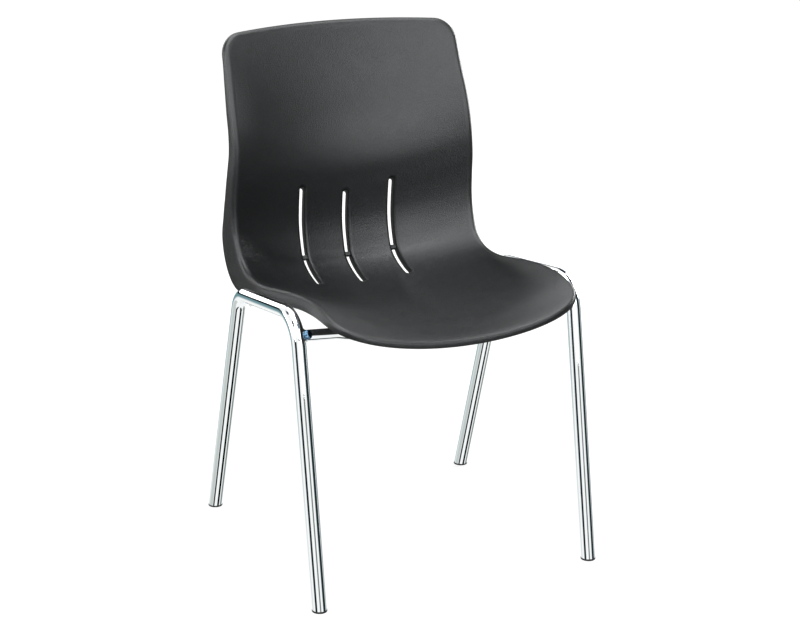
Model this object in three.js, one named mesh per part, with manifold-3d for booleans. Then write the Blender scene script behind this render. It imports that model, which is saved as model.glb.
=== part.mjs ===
// Choir chair: a one-piece moulded seat shell screwed to a stacking frame of bent steel tube.
// Millimetres. +X is the sitter's left, +Y the back, +Z up, origin on the floor between the feet.
import * as THREE from 'three';
import { mergeVertices } from 'three/addons/utils/BufferGeometryUtils.js';
import Module from 'manifold-3d';

const wasm = await Module();
wasm.setup();

// Frame tube
const tubeDiameter = 22;
const tubeWall = 2;
const tubeRadius = tubeDiameter / 2;
const railFrontReach = 147.5;
const railRearReach = 86.5;
const railRearHeight = 407.2;
const railRise = 30.5;
const footFrontReach = 221.5;
const footRearReach = 230.5;
const frontBendRadius = 50;
const rearBendRadius = 42;

// Cross tubes
const crossTubeDiameter = 18;
const crossTubeWall = 1.5;
const crossTubeRadius = crossTubeDiameter / 2;
const crossBendRadius = 60;
const crossFlatShare = 0.454;
const crossKneeShare = 0.78;
const frontCrossDrop = 31.7;
const rearCrossSetback = 30;
const crossToFlangeGap = 1.2;
const crossToShellGap = 2.5;
const kneeDropShare = 0.19;

// Domed stud on the front of the front cross tube, beside each leg
const studInset = 12.6;
const studDiameter = 14;
const studHeight = 3.2;
const studStemDiameter = 6;
const studStemLength = 6;
const studTilt = THREE.MathUtils.degToRad(25);
const studDomeShares = [[1, 0.1], [0.92, 0.45], [0.72, 0.75], [0.4, 0.95], [0, 1]];

// Shell
const shellHalfWidth = 212.6;
const shellToRailGap = 4.4;
const shellDepth = 494;
const lipOverhang = 104.5;
const seatSink = 23.2;
const backRise = 413.8;
const dishDepth = 50;
const shellWall = 4.2;
const flangeDepth = 52;
const edgeRoll = 12;
const backCornerRadius = 33;
const frontCornerDepth = 86;
const frontCornerPower = 4.2;
const flangeFlare = THREE.MathUtils.degToRad(8);
const rollEndShare = 0.7;

// Slots in the shell
const slotPitch = 78.7;
const slotWidth = 10;
const collarWall = 4;
const collarDepth = 15;
const drawTilt = THREE.MathUtils.degToRad(26);
const bridgeThickness = 6;
const bridgeRecess = 5;
const outerSlotTopShare = 0.318;
const middleSlotTopShare = 0.331;
const slotEndShare = 0.625;
const bridgeShare = 0.519;

// Fixings
const tabHoleSpacing = 150;
const tabReach = 22;
const tabWidth = 34;
const tabThickness = 3;
const tabEndMargin = 14;
const tabHoleDiameter = 7;
const bossDiameter = 20;
const insertDiameter = 8;
const insertLength = 9;
const insertGroove = 0.8;
const screwDiameter = 6;
const screwReach = 8;
const screwHeadDiameter = 11;
const screwHeadHeight = 3.6;
const screwSocketDiameter = 4.6;
const screwSocketDepth = 2;
const screwTipChamfer = 0.8;
const waistShares = [0.35, 0.45, 0.55, 0.65];
const headDomeShares = [[0.72, 0.9], [1, 0.45]];
const washerDiameter = 14;
const washerThickness = 1.6;

// Foot glides
const glideRim = 2.5;
const glideProud = 0.5;
const glidePlugLength = 18;

// Clearance between touching pieces, and the overrun of every cutting body
const gap = 0.3;
const overrun = 2;
const mergeDistance = 0.0003;

// Steps of the numerical searches on the shell's face
const slopeStep = 0.001;
const halfStation = 0.5;
const bisections = 40;
const planRounds = 8;

// Facet counts
const tubeSides = 16;
const crossTubeSides = 14;
const smallSides = 14;
const legBendSteps = 6;
const crossBendSteps = 2;
const shellColumns = 24;
const shellRows = 36;
const rollSteps = 3;
const slotSteps = 10;
const slotEndSteps = 3;

// Places that follow from the sizes above
const frameHalfWidth = shellHalfWidth + shellToRailGap + tubeRadius;
const shellFront = -(railFrontReach + lipOverhang);
const seatLow = railRearHeight - seatSink;
const crossFlatHalf = crossFlatShare * shellHalfWidth;
const crossKneeReach = crossKneeShare * shellHalfWidth;
const cutSize = 2 * (frameHalfWidth + footFrontReach + footRearReach);

const materials = {
  plastic: { color: 0x3a3c3e, roughness: 0.55, metalness: 0 },
  chrome: { color: 0xd8dcde, roughness: 0.12, metalness: 1 },
  steel: { color: 0xb4b6b8, roughness: 0.35, metalness: 1 },
  brass: { color: 0xb08d4a, roughness: 0.4, metalness: 1 },
  glide: { color: 0x1c1d1e, roughness: 0.6, metalness: 0 },
};

// Solids

function toSolid(geometry) {
  const bare = geometry.clone();
  bare.deleteAttribute('normal');
  bare.deleteAttribute('uv');
  const merged = mergeVertices(bare, mergeDistance);
  const corners = merged.index.array;
  const triVerts = [];
  for (let i = 0; i < corners.length; i += 3) {
    const [a, b, c] = [corners[i], corners[i + 1], corners[i + 2]];
    if (a !== b && b !== c && c !== a) triVerts.push(a, b, c);
  }
  return new wasm.Manifold(new wasm.Mesh({
    numProp: 3,
    vertProperties: new Float32Array(merged.attributes.position.array),
    triVerts: new Uint32Array(triVerts),
  }));
}

function toGeometry(solid) {
  const mesh = solid.getMesh();
  const geometry = new THREE.BufferGeometry();
  geometry.setAttribute('position', new THREE.BufferAttribute(mesh.vertProperties, 3));
  geometry.setIndex(new THREE.BufferAttribute(mesh.triVerts, 1));
  geometry.computeVertexNormals();
  return geometry;
}

function piece(name, solid, look) {
  const mesh = new THREE.Mesh(toGeometry(solid), new THREE.MeshStandardMaterial(materials[look]));
  mesh.name = name;
  return mesh;
}

function placed(geometry, x, y, z) {
  return toSolid(geometry.translate(x, y, z));
}

function cylinderAlongZ(radius, height, sides) {
  return new THREE.CylinderGeometry(radius, radius, height, sides).rotateX(Math.PI / 2);
}

// A solid of revolution about +Z from a closed outline of [radius, height] pairs
function lathe(outline, sides) {
  const points = [...outline, outline[0]].map(([r, h]) => new THREE.Vector2(r, h));
  return new THREE.LatheGeometry(points, sides).rotateX(Math.PI / 2);
}

// Bent tubes

// A line through corner points whose inner corners are arcs, kept as a list of places on it
class BentLine extends THREE.Curve {
  constructor(corners, radii, arcSteps) {
    super();
    this.places = [corners[0]];
    for (let i = 1; i < corners.length - 1; i++) {
      this.addArc(corners[i - 1], corners[i], corners[i + 1], radii[i - 1], arcSteps);
    }
    this.places.push(corners[corners.length - 1]);
    this.steps = this.places.length - 1;
  }

  addArc(before, corner, after, radius, arcSteps) {
    const inward = before.clone().sub(corner).normalize();
    const onward = after.clone().sub(corner).normalize();
    const halfTurn = (Math.PI - inward.angleTo(onward)) / 2;
    const toCentre = inward.clone().add(onward).normalize();
    const centre = corner.clone().addScaledVector(toCentre, radius / Math.cos(halfTurn));
    const across = onward.clone().sub(inward).normalize();
    for (let i = 0; i <= arcSteps; i++) {
      const angle = THREE.MathUtils.lerp(-halfTurn, halfTurn, i / arcSteps);
      this.places.push(centre.clone()
        .addScaledVector(toCentre, -radius * Math.cos(angle))
        .addScaledVector(across, radius * Math.sin(angle)));
    }
  }

  getPoint(t) {
    const at = t * this.steps;
    const from = Math.min(Math.floor(at + 1e-6), this.steps - 1);
    return this.places[from].clone().lerp(this.places[from + 1], at - from);
  }

  getPointAt(t) {
    return this.getPoint(t);
  }

  getTangentAt(t) {
    const at = Math.round(t * this.steps);
    const before = this.places[Math.max(at - 1, 0)];
    const here = this.places[at];
    const after = this.places[Math.min(at + 1, this.steps)];
    const tangent = new THREE.Vector3();
    if (at > 0) tangent.add(here.clone().sub(before).normalize());
    if (at < this.steps) tangent.add(after.clone().sub(here).normalize());
    return tangent.normalize();
  }

  // The place where a coordinate of the line first reaches a given value
  placeWhere(axis, value) {
    const next = this.places.findIndex((place) => place[axis] >= value);
    const [from, to] = [this.places[next - 1], this.places[next]];
    return from.clone().lerp(to, (value - from[axis]) / (to[axis] - from[axis]));
  }
}

function tubeAlong(line, outerRadius, innerRadius, sides) {
  const section = new THREE.Shape().absarc(0, 0, outerRadius, 0, 2 * Math.PI);
  if (innerRadius > 0) {
    section.holes.push(new THREE.Path().absarc(0, 0, innerRadius, 0, 2 * Math.PI, true));
  }
  return toSolid(new THREE.ExtrudeGeometry(section, {
    extrudePath: line, steps: line.steps, curveSegments: sides / 2,
  }));
}

// Side frames: front leg, rail and rear leg in one bent tube

function sideLine(side) {
  const x = side * frameHalfWidth;
  const footFront = new THREE.Vector3(x, -footFrontReach, 0);
  const railFront = new THREE.Vector3(x, -railFrontReach, railRearHeight + railRise);
  const railRear = new THREE.Vector3(x, railRearReach, railRearHeight);
  const footRear = new THREE.Vector3(x, footRearReach, 0);
  const ends = [extended(railFront, footFront, tubeDiameter), extended(railRear, footRear, tubeDiameter)];
  const radii = [frontBendRadius, rearBendRadius];
  return new BentLine([ends[0], railFront, railRear, ends[1]], radii, legBendSteps);
}

function extended(from, to, extra) {
  return to.clone().addScaledVector(to.clone().sub(from).normalize(), extra);
}

function aboveHeight(solid, height) {
  const block = new THREE.BoxGeometry(cutSize, cutSize, cutSize);
  return solid.subtract(placed(block, 0, 0, height - cutSize / 2));
}

function belowHeight(solid, height) {
  const block = new THREE.BoxGeometry(cutSize, cutSize, cutSize);
  return solid.subtract(placed(block, 0, 0, height + cutSize / 2));
}

function sideFrame(line) {
  return aboveHeight(tubeAlong(line, tubeRadius, tubeRadius - tubeWall, tubeSides), glideRim + gap);
}

// Glide: a plug inside the leg and a thin rim under the tube's level-cut end
function footGlide(line, end) {
  const last = end === 'front' ? 0 : line.steps;
  const next = end === 'front' ? 1 : line.steps - 1;
  const [bottom, top] = [line.places[last], line.places[next]];
  const up = top.clone().sub(bottom).normalize();
  const floorPlace = bottom.clone().addScaledVector(up, tubeDiameter);
  const turn = new THREE.Quaternion().setFromUnitVectors(new THREE.Vector3(0, 0, 1), up);
  const along = (radius, reach) => toSolid(cylinderAlongZ(radius, 2 * reach, tubeSides)
    .applyQuaternion(turn).translate(floorPlace.x, floorPlace.y, 0));
  const rim = belowHeight(along(tubeRadius + glideProud, tubeDiameter), glideRim);
  const plug = along(tubeRadius - tubeWall - gap, glidePlugLength);
  return aboveHeight(rim.add(plug), 0);
}

// Seat shell

// One row for each station down the shell, from the back's top edge to the seat's front lip:
// middle line's distance back and height, side's distance back and height, half width, flange depth
const backShares = [
  [1.000, 1.000, 0.943, 0.977, 0.945, 0.212],
  [0.978, 0.875, 0.911, 0.889, 0.950, 0.240],
  [0.954, 0.755, 0.881, 0.802, 0.960, 0.308],
  [0.931, 0.635, 0.849, 0.715, 0.972, 0.375],
  [0.908, 0.527, 0.825, 0.631, 0.976, 0.413],
  [0.900, 0.444, 0.814, 0.551, 0.981, 0.442],
  [0.907, 0.365, 0.815, 0.466, 0.992, 0.481],
  [0.916, 0.280, 0.823, 0.382, 0.998, 0.529],
  [0.918, 0.213, 0.825, 0.302, 1.000, 0.663],
  [0.909, 0.147, 0.814, 0.232, 1.000, 0.885],
];
const seatShares = [
  [0.888, 0.66, 0.780, 1.364, 0.993, 1.000],
  [0.833, 0.31, 0.731, 1.060, 0.990, 0.846],
  [0.752, 0.09, 0.673, 0.956, 0.990, 0.519],
  [0.651, 0.00, 0.598, 0.990, 0.990, 0.327],
  [0.529, 0.08, 0.503, 1.154, 0.988, 0.394],
  [0.398, 0.21, 0.394, 1.340, 0.978, 0.471],
  [0.266, 0.34, 0.280, 1.450, 0.968, 0.433],
  [0.145, 0.42, 0.171, 1.410, 0.958, 0.365],
  [0.050, 0.40, 0.078, 1.190, 0.958, 0.231],
  [0.000, 0.35, 0.000, 0.980, 0.958, 0.154],
];
const stations = [
  ...backShares.map((row) => stationOf(row, backRise)),
  ...seatShares.map((row) => stationOf(row, dishDepth)),
];
const lastStation = stations.length - 1;
const rearSeatStations = 3;
const frontStart = backShares.length + rearSeatStations;

function stationOf([middleBack, middleUp, sideBack, sideUp, width, flange], rise) {
  const profile = (x, back, up) => (
    new THREE.Vector3(x, shellFront + back * shellDepth, seatLow + up * rise)
  );
  return {
    middle: profile(0, middleBack, middleUp),
    side: profile(width * shellHalfWidth, sideBack, sideUp),
    flange: new THREE.Vector3(flange * flangeDepth, 0, 0),
  };
}

function smoothThrough(key) {
  return new THREE.CatmullRomCurve3(stations.map((station) => station[key]), false, 'catmullrom', 0.5);
}

const middleLine = smoothThrough('middle');
const shellSideLine = smoothThrough('side');
const flangeLine = smoothThrough('flange');

function flangeAt(s) {
  return flangeLine.getPoint(s / lastStation).x;
}

// The sitter's face of the shell: a from -1 to 1 across, s down the shell in stations
function shellPoint(a, s) {
  const t = THREE.MathUtils.clamp(s / lastStation, 0, 1);
  const middle = middleLine.getPoint(t);
  const side = shellSideLine.getPoint(t);
  const dish = a ** 2;
  return new THREE.Vector3(
    a * side.x,
    THREE.MathUtils.lerp(middle.y, side.y, dish),
    THREE.MathUtils.lerp(middle.z, side.z, dish),
  );
}

// Unit normals towards the sitter: that of the face, and that of the profile line alone
function shellNormals(a, s) {
  const low = Math.max(s - slopeStep, 0);
  const high = Math.min(s + slopeStep, lastStation);
  const down = shellPoint(a, high).sub(shellPoint(a, low));
  const across = shellPoint(a + slopeStep, s).sub(shellPoint(a - slopeStep, s));
  return {
    face: new THREE.Vector3().crossVectors(down, across).normalize(),
    profile: new THREE.Vector3(0, down.z, -down.y).normalize(),
  };
}

function stationWhere(test, low, high) {
  let [from, to] = [low, high];
  for (let i = 0; i < bisections; i++) {
    const middle = (from + to) / 2;
    if (test(middle)) from = middle;
    else to = middle;
  }
  return (from + to) / 2;
}

// Stations where column a starts at the back's rounded top edge and ends at the seat's curved lip
function columnEnds(a) {
  const halfTop = stations[0].side.x;
  const cornerRadius = backCornerRadius - edgeRoll;
  const past = THREE.MathUtils.clamp(Math.abs(a) * halfTop - (halfTop - backCornerRadius), 0, cornerRadius);
  const drop = backCornerRadius - Math.sqrt(Math.max(cornerRadius ** 2 - past ** 2, 0));
  const top = drop / stations[0].side.distanceTo(stations[1].side);
  const across = Math.min(Math.abs(a) / (1 - edgeRoll / stations[0].side.x), 1);
  const roundness = (1 - across ** frontCornerPower) ** (1 / frontCornerPower);
  const reach = shellFront + frontCornerDepth - (frontCornerDepth - edgeRoll) * roundness;
  const front = stationWhere((s) => shellPoint(a, s).y > reach, frontStart, lastStation);
  return { top, front };
}

function rolledCurve(start, control, end, t) {
  return start.clone().multiplyScalar((1 - t) ** 2)
    .addScaledVector(control, 2 * t * (1 - t))
    .addScaledVector(end, t ** 2);
}

// Edge of the shell at one place of its rim: the face rolls over into a flange turned back
function edgeSections(place, tangent, normals, s) {
  const { face, profile } = normals;
  const outward = new THREE.Vector3().crossVectors(face, tangent).normalize();
  const level = outward.clone().addScaledVector(profile, -outward.dot(profile)).normalize();
  const turned = profile.clone().multiplyScalar(-Math.cos(flangeFlare))
    .addScaledVector(level, Math.sin(flangeFlare));
  const flangeFace = level.clone().multiplyScalar(Math.cos(flangeFlare))
    .addScaledVector(profile, Math.sin(flangeFlare));
  const depth = flangeAt(s);
  const corner = place.clone().addScaledVector(outward, edgeRoll);
  const rollEnd = corner.clone().addScaledVector(turned, Math.min(edgeRoll, rollEndShare * depth));
  const lip = corner.clone().addScaledVector(turned, depth);
  const innerPlace = place.clone().addScaledVector(face, -shellWall);
  const toFlange = corner.clone().addScaledVector(flangeFace, -shellWall).sub(innerPlace);
  const innerReach = toFlange.dot(flangeFace) / outward.dot(flangeFace);
  const innerCorner = innerPlace.clone().addScaledVector(outward, innerReach);
  const innerRollEnd = rollEnd.clone().addScaledVector(flangeFace, -shellWall);
  const sections = { outer: [], inner: [] };
  for (let i = 1; i <= rollSteps; i++) {
    sections.outer.push(rolledCurve(place, corner, rollEnd, i / rollSteps));
    sections.inner.push(rolledCurve(innerPlace, innerCorner, innerRollEnd, i / rollSteps));
  }
  sections.outer.push(lip);
  sections.inner.push(lip.clone().addScaledVector(flangeFace, -shellWall));
  return sections;
}

// Grid places [row, column] around the rim, clockwise as the sitter's face is seen
function rimPlaces() {
  const places = [];
  for (let i = 0; i < shellColumns; i++) places.push([0, i]);
  for (let j = 0; j < shellRows; j++) places.push([j, shellColumns]);
  for (let i = shellColumns; i > 0; i--) places.push([shellRows, i]);
  for (let j = shellRows; j > 0; j--) places.push([j, 0]);
  return places;
}

function shellSkin() {
  const widest = 1 - edgeRoll / stations[0].side.x;
  const points = [];
  const triangles = [];
  const add = (point) => points.push(point) - 1;
  const quad = (a, b, c, d) => triangles.push(a, b, c, a, c, d);
  const grid = [];
  for (let j = 0; j <= shellRows; j++) {
    grid.push([]);
    for (let i = 0; i <= shellColumns; i++) {
      const a = widest * Math.sin(Math.PI * (i / shellColumns - 0.5));
      const { top, front } = columnEnds(a);
      const s = THREE.MathUtils.lerp(top, front, j / shellRows);
      const place = shellPoint(a, s);
      const normals = shellNormals(a, s);
      const under = place.clone().addScaledVector(normals.face, -shellWall);
      grid[j].push({ s, place, normals, face: add(place), under: add(under) });
    }
  }
  for (let j = 0; j < shellRows; j++) {
    for (let i = 0; i < shellColumns; i++) {
      const [a, b] = [grid[j][i], grid[j][i + 1]];
      const [d, c] = [grid[j + 1][i], grid[j + 1][i + 1]];
      quad(a.face, d.face, c.face, b.face);
      quad(a.under, b.under, c.under, d.under);
    }
  }
  const rim = rimPlaces().map(([j, i]) => grid[j][i]);
  const rings = rim.map((spot, k) => {
    const before = rim[(k + rim.length - 1) % rim.length].place;
    const after = rim[(k + 1) % rim.length].place;
    const tangent = after.clone().sub(before).normalize();
    const { outer, inner } = edgeSections(spot.place, tangent, spot.normals, spot.s);
    return [spot.face, ...outer.map(add), ...inner.map(add).reverse(), spot.under];
  });
  rings.forEach((ring, k) => {
    const following = rings[(k + 1) % rings.length];
    for (let i = 0; i < ring.length - 1; i++) {
      quad(ring[i], following[i], following[i + 1], ring[i + 1]);
    }
  });
  const geometry = new THREE.BufferGeometry().setFromPoints(points);
  geometry.setIndex(triangles);
  return toSolid(geometry);
}

// Height of the shell's underside over one place of the plan
function undersideAt(x, y) {
  let a = x / shellHalfWidth;
  let s = frontStart;
  for (let i = 0; i < planRounds; i++) {
    s = stationWhere((t) => shellPoint(a, t).y > y, backShares.length, lastStation);
    a *= x === 0 ? 1 : x / shellPoint(a, s).x;
  }
  return shellPoint(a, s).z - shellWall / shellNormals(a, s).face.z;
}

// Height of the flange's lower edge beside one place along the seat
function flangeBottomAt(y) {
  const s = stationWhere((t) => shellPoint(1, t).y > y, backShares.length, lastStation);
  const { profile } = shellNormals(1, s);
  return shellPoint(1, s).z - flangeAt(s) * profile.z;
}

// Rows down a slot with round ends: station and half width of each
function slotRows(a, topShare, halfWidth, stretch) {
  const rows = [];
  const turned = (end, sign, step) => {
    const angle = (Math.PI / 2) * (1 - (step + 0.5) / (slotEndSteps + 0.5));
    const fromEnd = halfWidth * (1 - Math.sin(angle)) - stretch;
    const perStation = shellPoint(a, end + halfStation).distanceTo(shellPoint(a, end - halfStation));
    return { s: end + (sign * fromEnd) / perStation, half: halfWidth * Math.cos(angle) };
  };
  const [top, bottom] = [topShare * lastStation, slotEndShare * lastStation];
  for (let i = 0; i <= slotEndSteps; i++) rows.push(turned(top, 1, i));
  const last = turned(bottom, -1, slotEndSteps);
  for (let i = 1; i < slotSteps; i++) {
    rows.push({ s: THREE.MathUtils.lerp(rows[slotEndSteps].s, last.s, i / slotSteps), half: halfWidth });
  }
  for (let i = slotEndSteps; i >= 0; i--) rows.push(turned(bottom, -1, i));
  return rows;
}

// A bar that follows the shell down one slot's line, as rings of four corners along the draw of its mould
function slotBody(x, topShare, halfWidth, stretch, front, behind) {
  const a = x / shellHalfWidth;
  const rows = slotRows(a, topShare, halfWidth, stretch);
  const draw = new THREE.Vector3(0, Math.cos(drawTilt), -Math.sin(drawTilt));
  const points = [];
  const triangles = [];
  for (const { s, half } of rows) {
    for (const [sign, depth] of [[-1, front], [1, front], [1, behind], [-1, behind]]) {
      const place = shellPoint(a, s).addScaledVector(draw, depth);
      points.push(new THREE.Vector3(x + sign * half, place.y, place.z));
    }
  }
  const last = 4 * (rows.length - 1);
  const quad = (c, d, e, f) => triangles.push(c, d, e, c, e, f);
  for (let near = 0; near < last; near += 4) {
    for (let k = 0; k < 4; k++) {
      const next = (k + 1) % 4;
      quad(near + k, near + k + 4, near + next + 4, near + next);
    }
  }
  quad(0, 1, 2, 3);
  quad(last, last + 3, last + 2, last + 1);
  const geometry = new THREE.BufferGeometry().setFromPoints(points);
  geometry.setIndex(triangles);
  return toSolid(geometry);
}

// Small bar across a slot, set back from the sitter's face
function slotBridge(x) {
  const a = x / shellHalfWidth;
  const s = bridgeShare * lastStation;
  const { profile } = shellNormals(a, s);
  const centre = shellPoint(a, s).addScaledVector(profile, -(bridgeRecess + bridgeThickness / 2));
  const turn = new THREE.Quaternion().setFromUnitVectors(new THREE.Vector3(0, 0, 1), profile);
  const bar = new THREE.BoxGeometry(slotWidth + collarWall, bridgeThickness, bridgeThickness);
  return toSolid(bar.applyQuaternion(turn).translate(x, centre.y, centre.z));
}

function seatShell(bossPlaces) {
  let shell = shellSkin();
  for (const { x, y, bottom } of bossPlaces) {
    const top = undersideAt(x, y) + shellWall / 2;
    const boss = cylinderAlongZ(bossDiameter / 2, top - bottom, smallSides);
    shell = shell.add(placed(boss, x, y, (top + bottom) / 2));
  }
  for (const x of [-slotPitch, 0, slotPitch]) {
    const topShare = x === 0 ? middleSlotTopShare : outerSlotTopShare;
    const half = slotWidth / 2;
    const collar = slotBody(x, topShare, half + collarWall, collarWall, shellWall / 2, collarDepth);
    const opening = slotBody(x, topShare, half, 0, -shellWall, collarDepth + overrun);
    shell = shell.add(collar).subtract(opening).add(slotBridge(x));
  }
  for (const { x, y, bottom } of bossPlaces) {
    const depth = insertLength + gap;
    const hole = cylinderAlongZ(insertDiameter / 2 + gap, depth + overrun, smallSides);
    shell = shell.subtract(placed(hole, x, y, bottom + (depth - overrun) / 2));
  }
  return shell;
}

// Cross tubes and their welded tabs

function crossLine(y, endHeight, middleHeight) {
  const kneeHeight = THREE.MathUtils.lerp(endHeight, middleHeight, kneeDropShare);
  const endReach = frameHalfWidth - tubeRadius / 2;
  const half = [[endReach, endHeight], [crossKneeReach, kneeHeight], [crossFlatHalf, middleHeight]];
  const right = half.map(([x, z]) => new THREE.Vector3(-x, y, z));
  const left = half.map(([x, z]) => new THREE.Vector3(x, y, z)).reverse();
  const radii = [crossBendRadius, crossBendRadius, crossBendRadius, crossBendRadius];
  return new BentLine([...right, ...left], radii, crossBendSteps);
}

function cutBy(solid, cutters) {
  return cutters.reduce((rest, cutter) => rest.subtract(cutter), solid);
}

function crossTube(line, cutters) {
  return cutBy(tubeAlong(line, crossTubeRadius, crossTubeRadius - crossTubeWall, crossTubeSides), cutters);
}

// Stud: a domed cap saddled on the cross tube, with a stem through the tube's front wall
function onTubeFront(geometry, line, x) {
  const { y, z } = line.placeWhere('x', x);
  return placed(geometry.rotateX(Math.PI / 2 - studTilt), x, y, z);
}

function studStem(line, x, clearance) {
  const stem = cylinderAlongZ(studStemDiameter / 2 + clearance, studStemLength, smallSides);
  return onTubeFront(stem.translate(0, 0, crossTubeRadius + (studHeight - studStemLength) / 2), line, x);
}

function frontStud(line, x, tubeEnvelope) {
  const radius = studDiameter / 2;
  const dome = studDomeShares.map(([across, up]) => [across * radius, crossTubeRadius + up * studHeight]);
  const cap = onTubeFront(lathe([[0, 0], [radius, 0], ...dome], smallSides), line, x);
  return cap.subtract(tubeEnvelope).add(studStem(line, x, 0));
}

// Tab: a strip from the cross tube's middle to a round end with the screw hole; facing is +1 to the back
function mountingTab(x, y, z, facing, tubeEnvelope) {
  const half = tabWidth / 2;
  const reach = tabReach + tabEndMargin - half;
  const outline = new THREE.Shape()
    .moveTo(-half, 0)
    .lineTo(half, 0)
    .lineTo(half, reach)
    .absarc(0, reach, half, 0, Math.PI)
    .closePath();
  outline.holes.push(new THREE.Path().absarc(0, tabReach, tabHoleDiameter / 2, 0, 2 * Math.PI, true));
  const strip = new THREE.ExtrudeGeometry(outline, {
    depth: tabThickness, bevelEnabled: false, curveSegments: smallSides / 2,
  });
  if (facing < 0) strip.rotateZ(Math.PI);
  return placed(strip, x, y, z - tabThickness / 2).subtract(tubeEnvelope);
}

// Fixings, each made about its own axis with its seating face at height zero

function threadedInsert() {
  const outer = insertDiameter / 2;
  const bore = screwDiameter / 2 + gap;
  const groove = outer - insertGroove / 2;
  const top = insertLength - gap;
  const [waistStart, grooveStart, grooveEnd, waistEnd] = waistShares.map((share) => share * top);
  return lathe([
    [bore, 0], [outer, 0],
    [outer, waistStart], [groove, grooveStart],
    [groove, grooveEnd], [outer, waistEnd],
    [outer, top], [bore, top],
  ], smallSides);
}

function washer() {
  const [outer, inner] = [washerDiameter / 2, screwDiameter / 2 + gap];
  return lathe([[inner, -washerThickness], [outer, -washerThickness], [outer, 0], [inner, 0]], smallSides);
}

// Domed head below with a round socket for the key, shank with a chamfered tip above
function screw(shank) {
  const [head, radius, socket] = [screwHeadDiameter / 2, screwDiameter / 2, screwSocketDiameter / 2];
  const dome = headDomeShares.map(([across, down]) => [across * head, -down * screwHeadHeight]);
  return lathe([
    [0, screwSocketDepth - screwHeadHeight], [socket, screwSocketDepth - screwHeadHeight],
    [socket, -screwHeadHeight], ...dome, [head, 0],
    [radius, 0], [radius, shank - screwTipChamfer], [radius - screwTipChamfer, shank], [0, shank],
  ], smallSides);
}

// Assembly

const chair = new THREE.Group();
const sides = { left: 1, right: -1 };
const sideLines = { left: sideLine(sides.left), right: sideLine(sides.right) };
const sideEnvelopes = Object.values(sideLines)
  .map((line) => tubeAlong(line, tubeRadius + gap, 0, tubeSides));

for (const [sideName, line] of Object.entries(sideLines)) {
  chair.add(piece(`side_frame_${sideName}`, sideFrame(line), 'chrome'));
  for (const end of ['front', 'rear']) {
    chair.add(piece(`foot_glide_${end}_${sideName}`, footGlide(line, end), 'glide'));
  }
}

const bossPlaces = [];

// One cross tube with its tabs, inserts, screws and washers; facing is +1 where the tabs reach back
function addCrossTube(end, facing, y, endHeight) {
  const middleHeight = undersideAt(0, y) - crossToShellGap - crossTubeRadius;
  const line = crossLine(y, endHeight, middleHeight);
  const envelope = tubeAlong(line, crossTubeRadius + gap, 0, crossTubeSides);
  const cutters = [...sideEnvelopes];
  for (const [sideName, side] of Object.entries(sides)) {
    const x = (side * tabHoleSpacing) / 2;
    const holeY = y + facing * tabReach;
    const tabTop = middleHeight + tabThickness / 2;
    const washerTop = tabTop - tabThickness - gap;
    const headTop = washerTop - washerThickness - gap;
    const tab = mountingTab(x, y, middleHeight, facing, envelope);
    chair.add(piece(`mounting_tab_${end}_${sideName}`, tab, 'chrome'));
    chair.add(piece(`threaded_insert_${end}_${sideName}`,
      placed(threadedInsert(), x, holeY, tabTop + gap), 'brass'));
    chair.add(piece(`washer_${end}_${sideName}`, placed(washer(), x, holeY, washerTop), 'steel'));
    chair.add(piece(`screw_${end}_${sideName}`,
      placed(screw(tabTop + screwReach - headTop), x, holeY, headTop), 'steel'));
    bossPlaces.push({ x, y: holeY, bottom: tabTop + gap });
    if (facing > 0) {
      const studX = side * (frameHalfWidth - studInset);
      const stud = cutBy(frontStud(line, studX, envelope), sideEnvelopes);
      chair.add(piece(`front_stud_${sideName}`, stud, 'chrome'));
      cutters.push(studStem(line, studX, gap));
    }
  }
  chair.add(piece(`${end}_cross_tube`, crossTube(line, cutters), 'chrome'));
}

const frontCrossHeight = railRearHeight + railRise - frontCrossDrop;
const frontCrossY = sideLines.left.placeWhere('z', frontCrossHeight).y;
const rearCrossY = railRearReach - rearCrossSetback;
const rearCrossHeight = flangeBottomAt(rearCrossY) - crossToFlangeGap - crossTubeRadius;

addCrossTube('front', 1, frontCrossY, frontCrossHeight);
addCrossTube('rear', -1, rearCrossY, rearCrossHeight);
chair.add(piece('seat_shell', seatShell(bossPlaces), 'plastic'));

export default chair;
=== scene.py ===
import math

import bpy
import numpy as np
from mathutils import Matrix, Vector


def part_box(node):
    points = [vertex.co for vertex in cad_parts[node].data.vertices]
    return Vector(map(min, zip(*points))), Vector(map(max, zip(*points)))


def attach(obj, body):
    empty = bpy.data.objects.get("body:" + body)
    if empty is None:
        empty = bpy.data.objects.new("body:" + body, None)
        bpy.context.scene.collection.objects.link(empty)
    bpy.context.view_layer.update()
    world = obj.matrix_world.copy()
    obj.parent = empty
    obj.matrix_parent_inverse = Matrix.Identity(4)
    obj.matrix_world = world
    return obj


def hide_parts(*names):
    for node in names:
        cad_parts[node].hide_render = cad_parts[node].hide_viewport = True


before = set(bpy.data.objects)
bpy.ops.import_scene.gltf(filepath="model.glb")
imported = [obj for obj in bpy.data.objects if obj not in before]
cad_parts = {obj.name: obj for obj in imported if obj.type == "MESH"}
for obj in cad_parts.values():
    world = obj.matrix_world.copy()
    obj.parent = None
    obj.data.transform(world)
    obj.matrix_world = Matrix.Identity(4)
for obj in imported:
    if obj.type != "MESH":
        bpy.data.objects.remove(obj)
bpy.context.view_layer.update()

# Sizes are in millimetres, as in the part's own drawing, and become metres when a mesh is made.
MM = 0.001
ROOT = "root"

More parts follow.
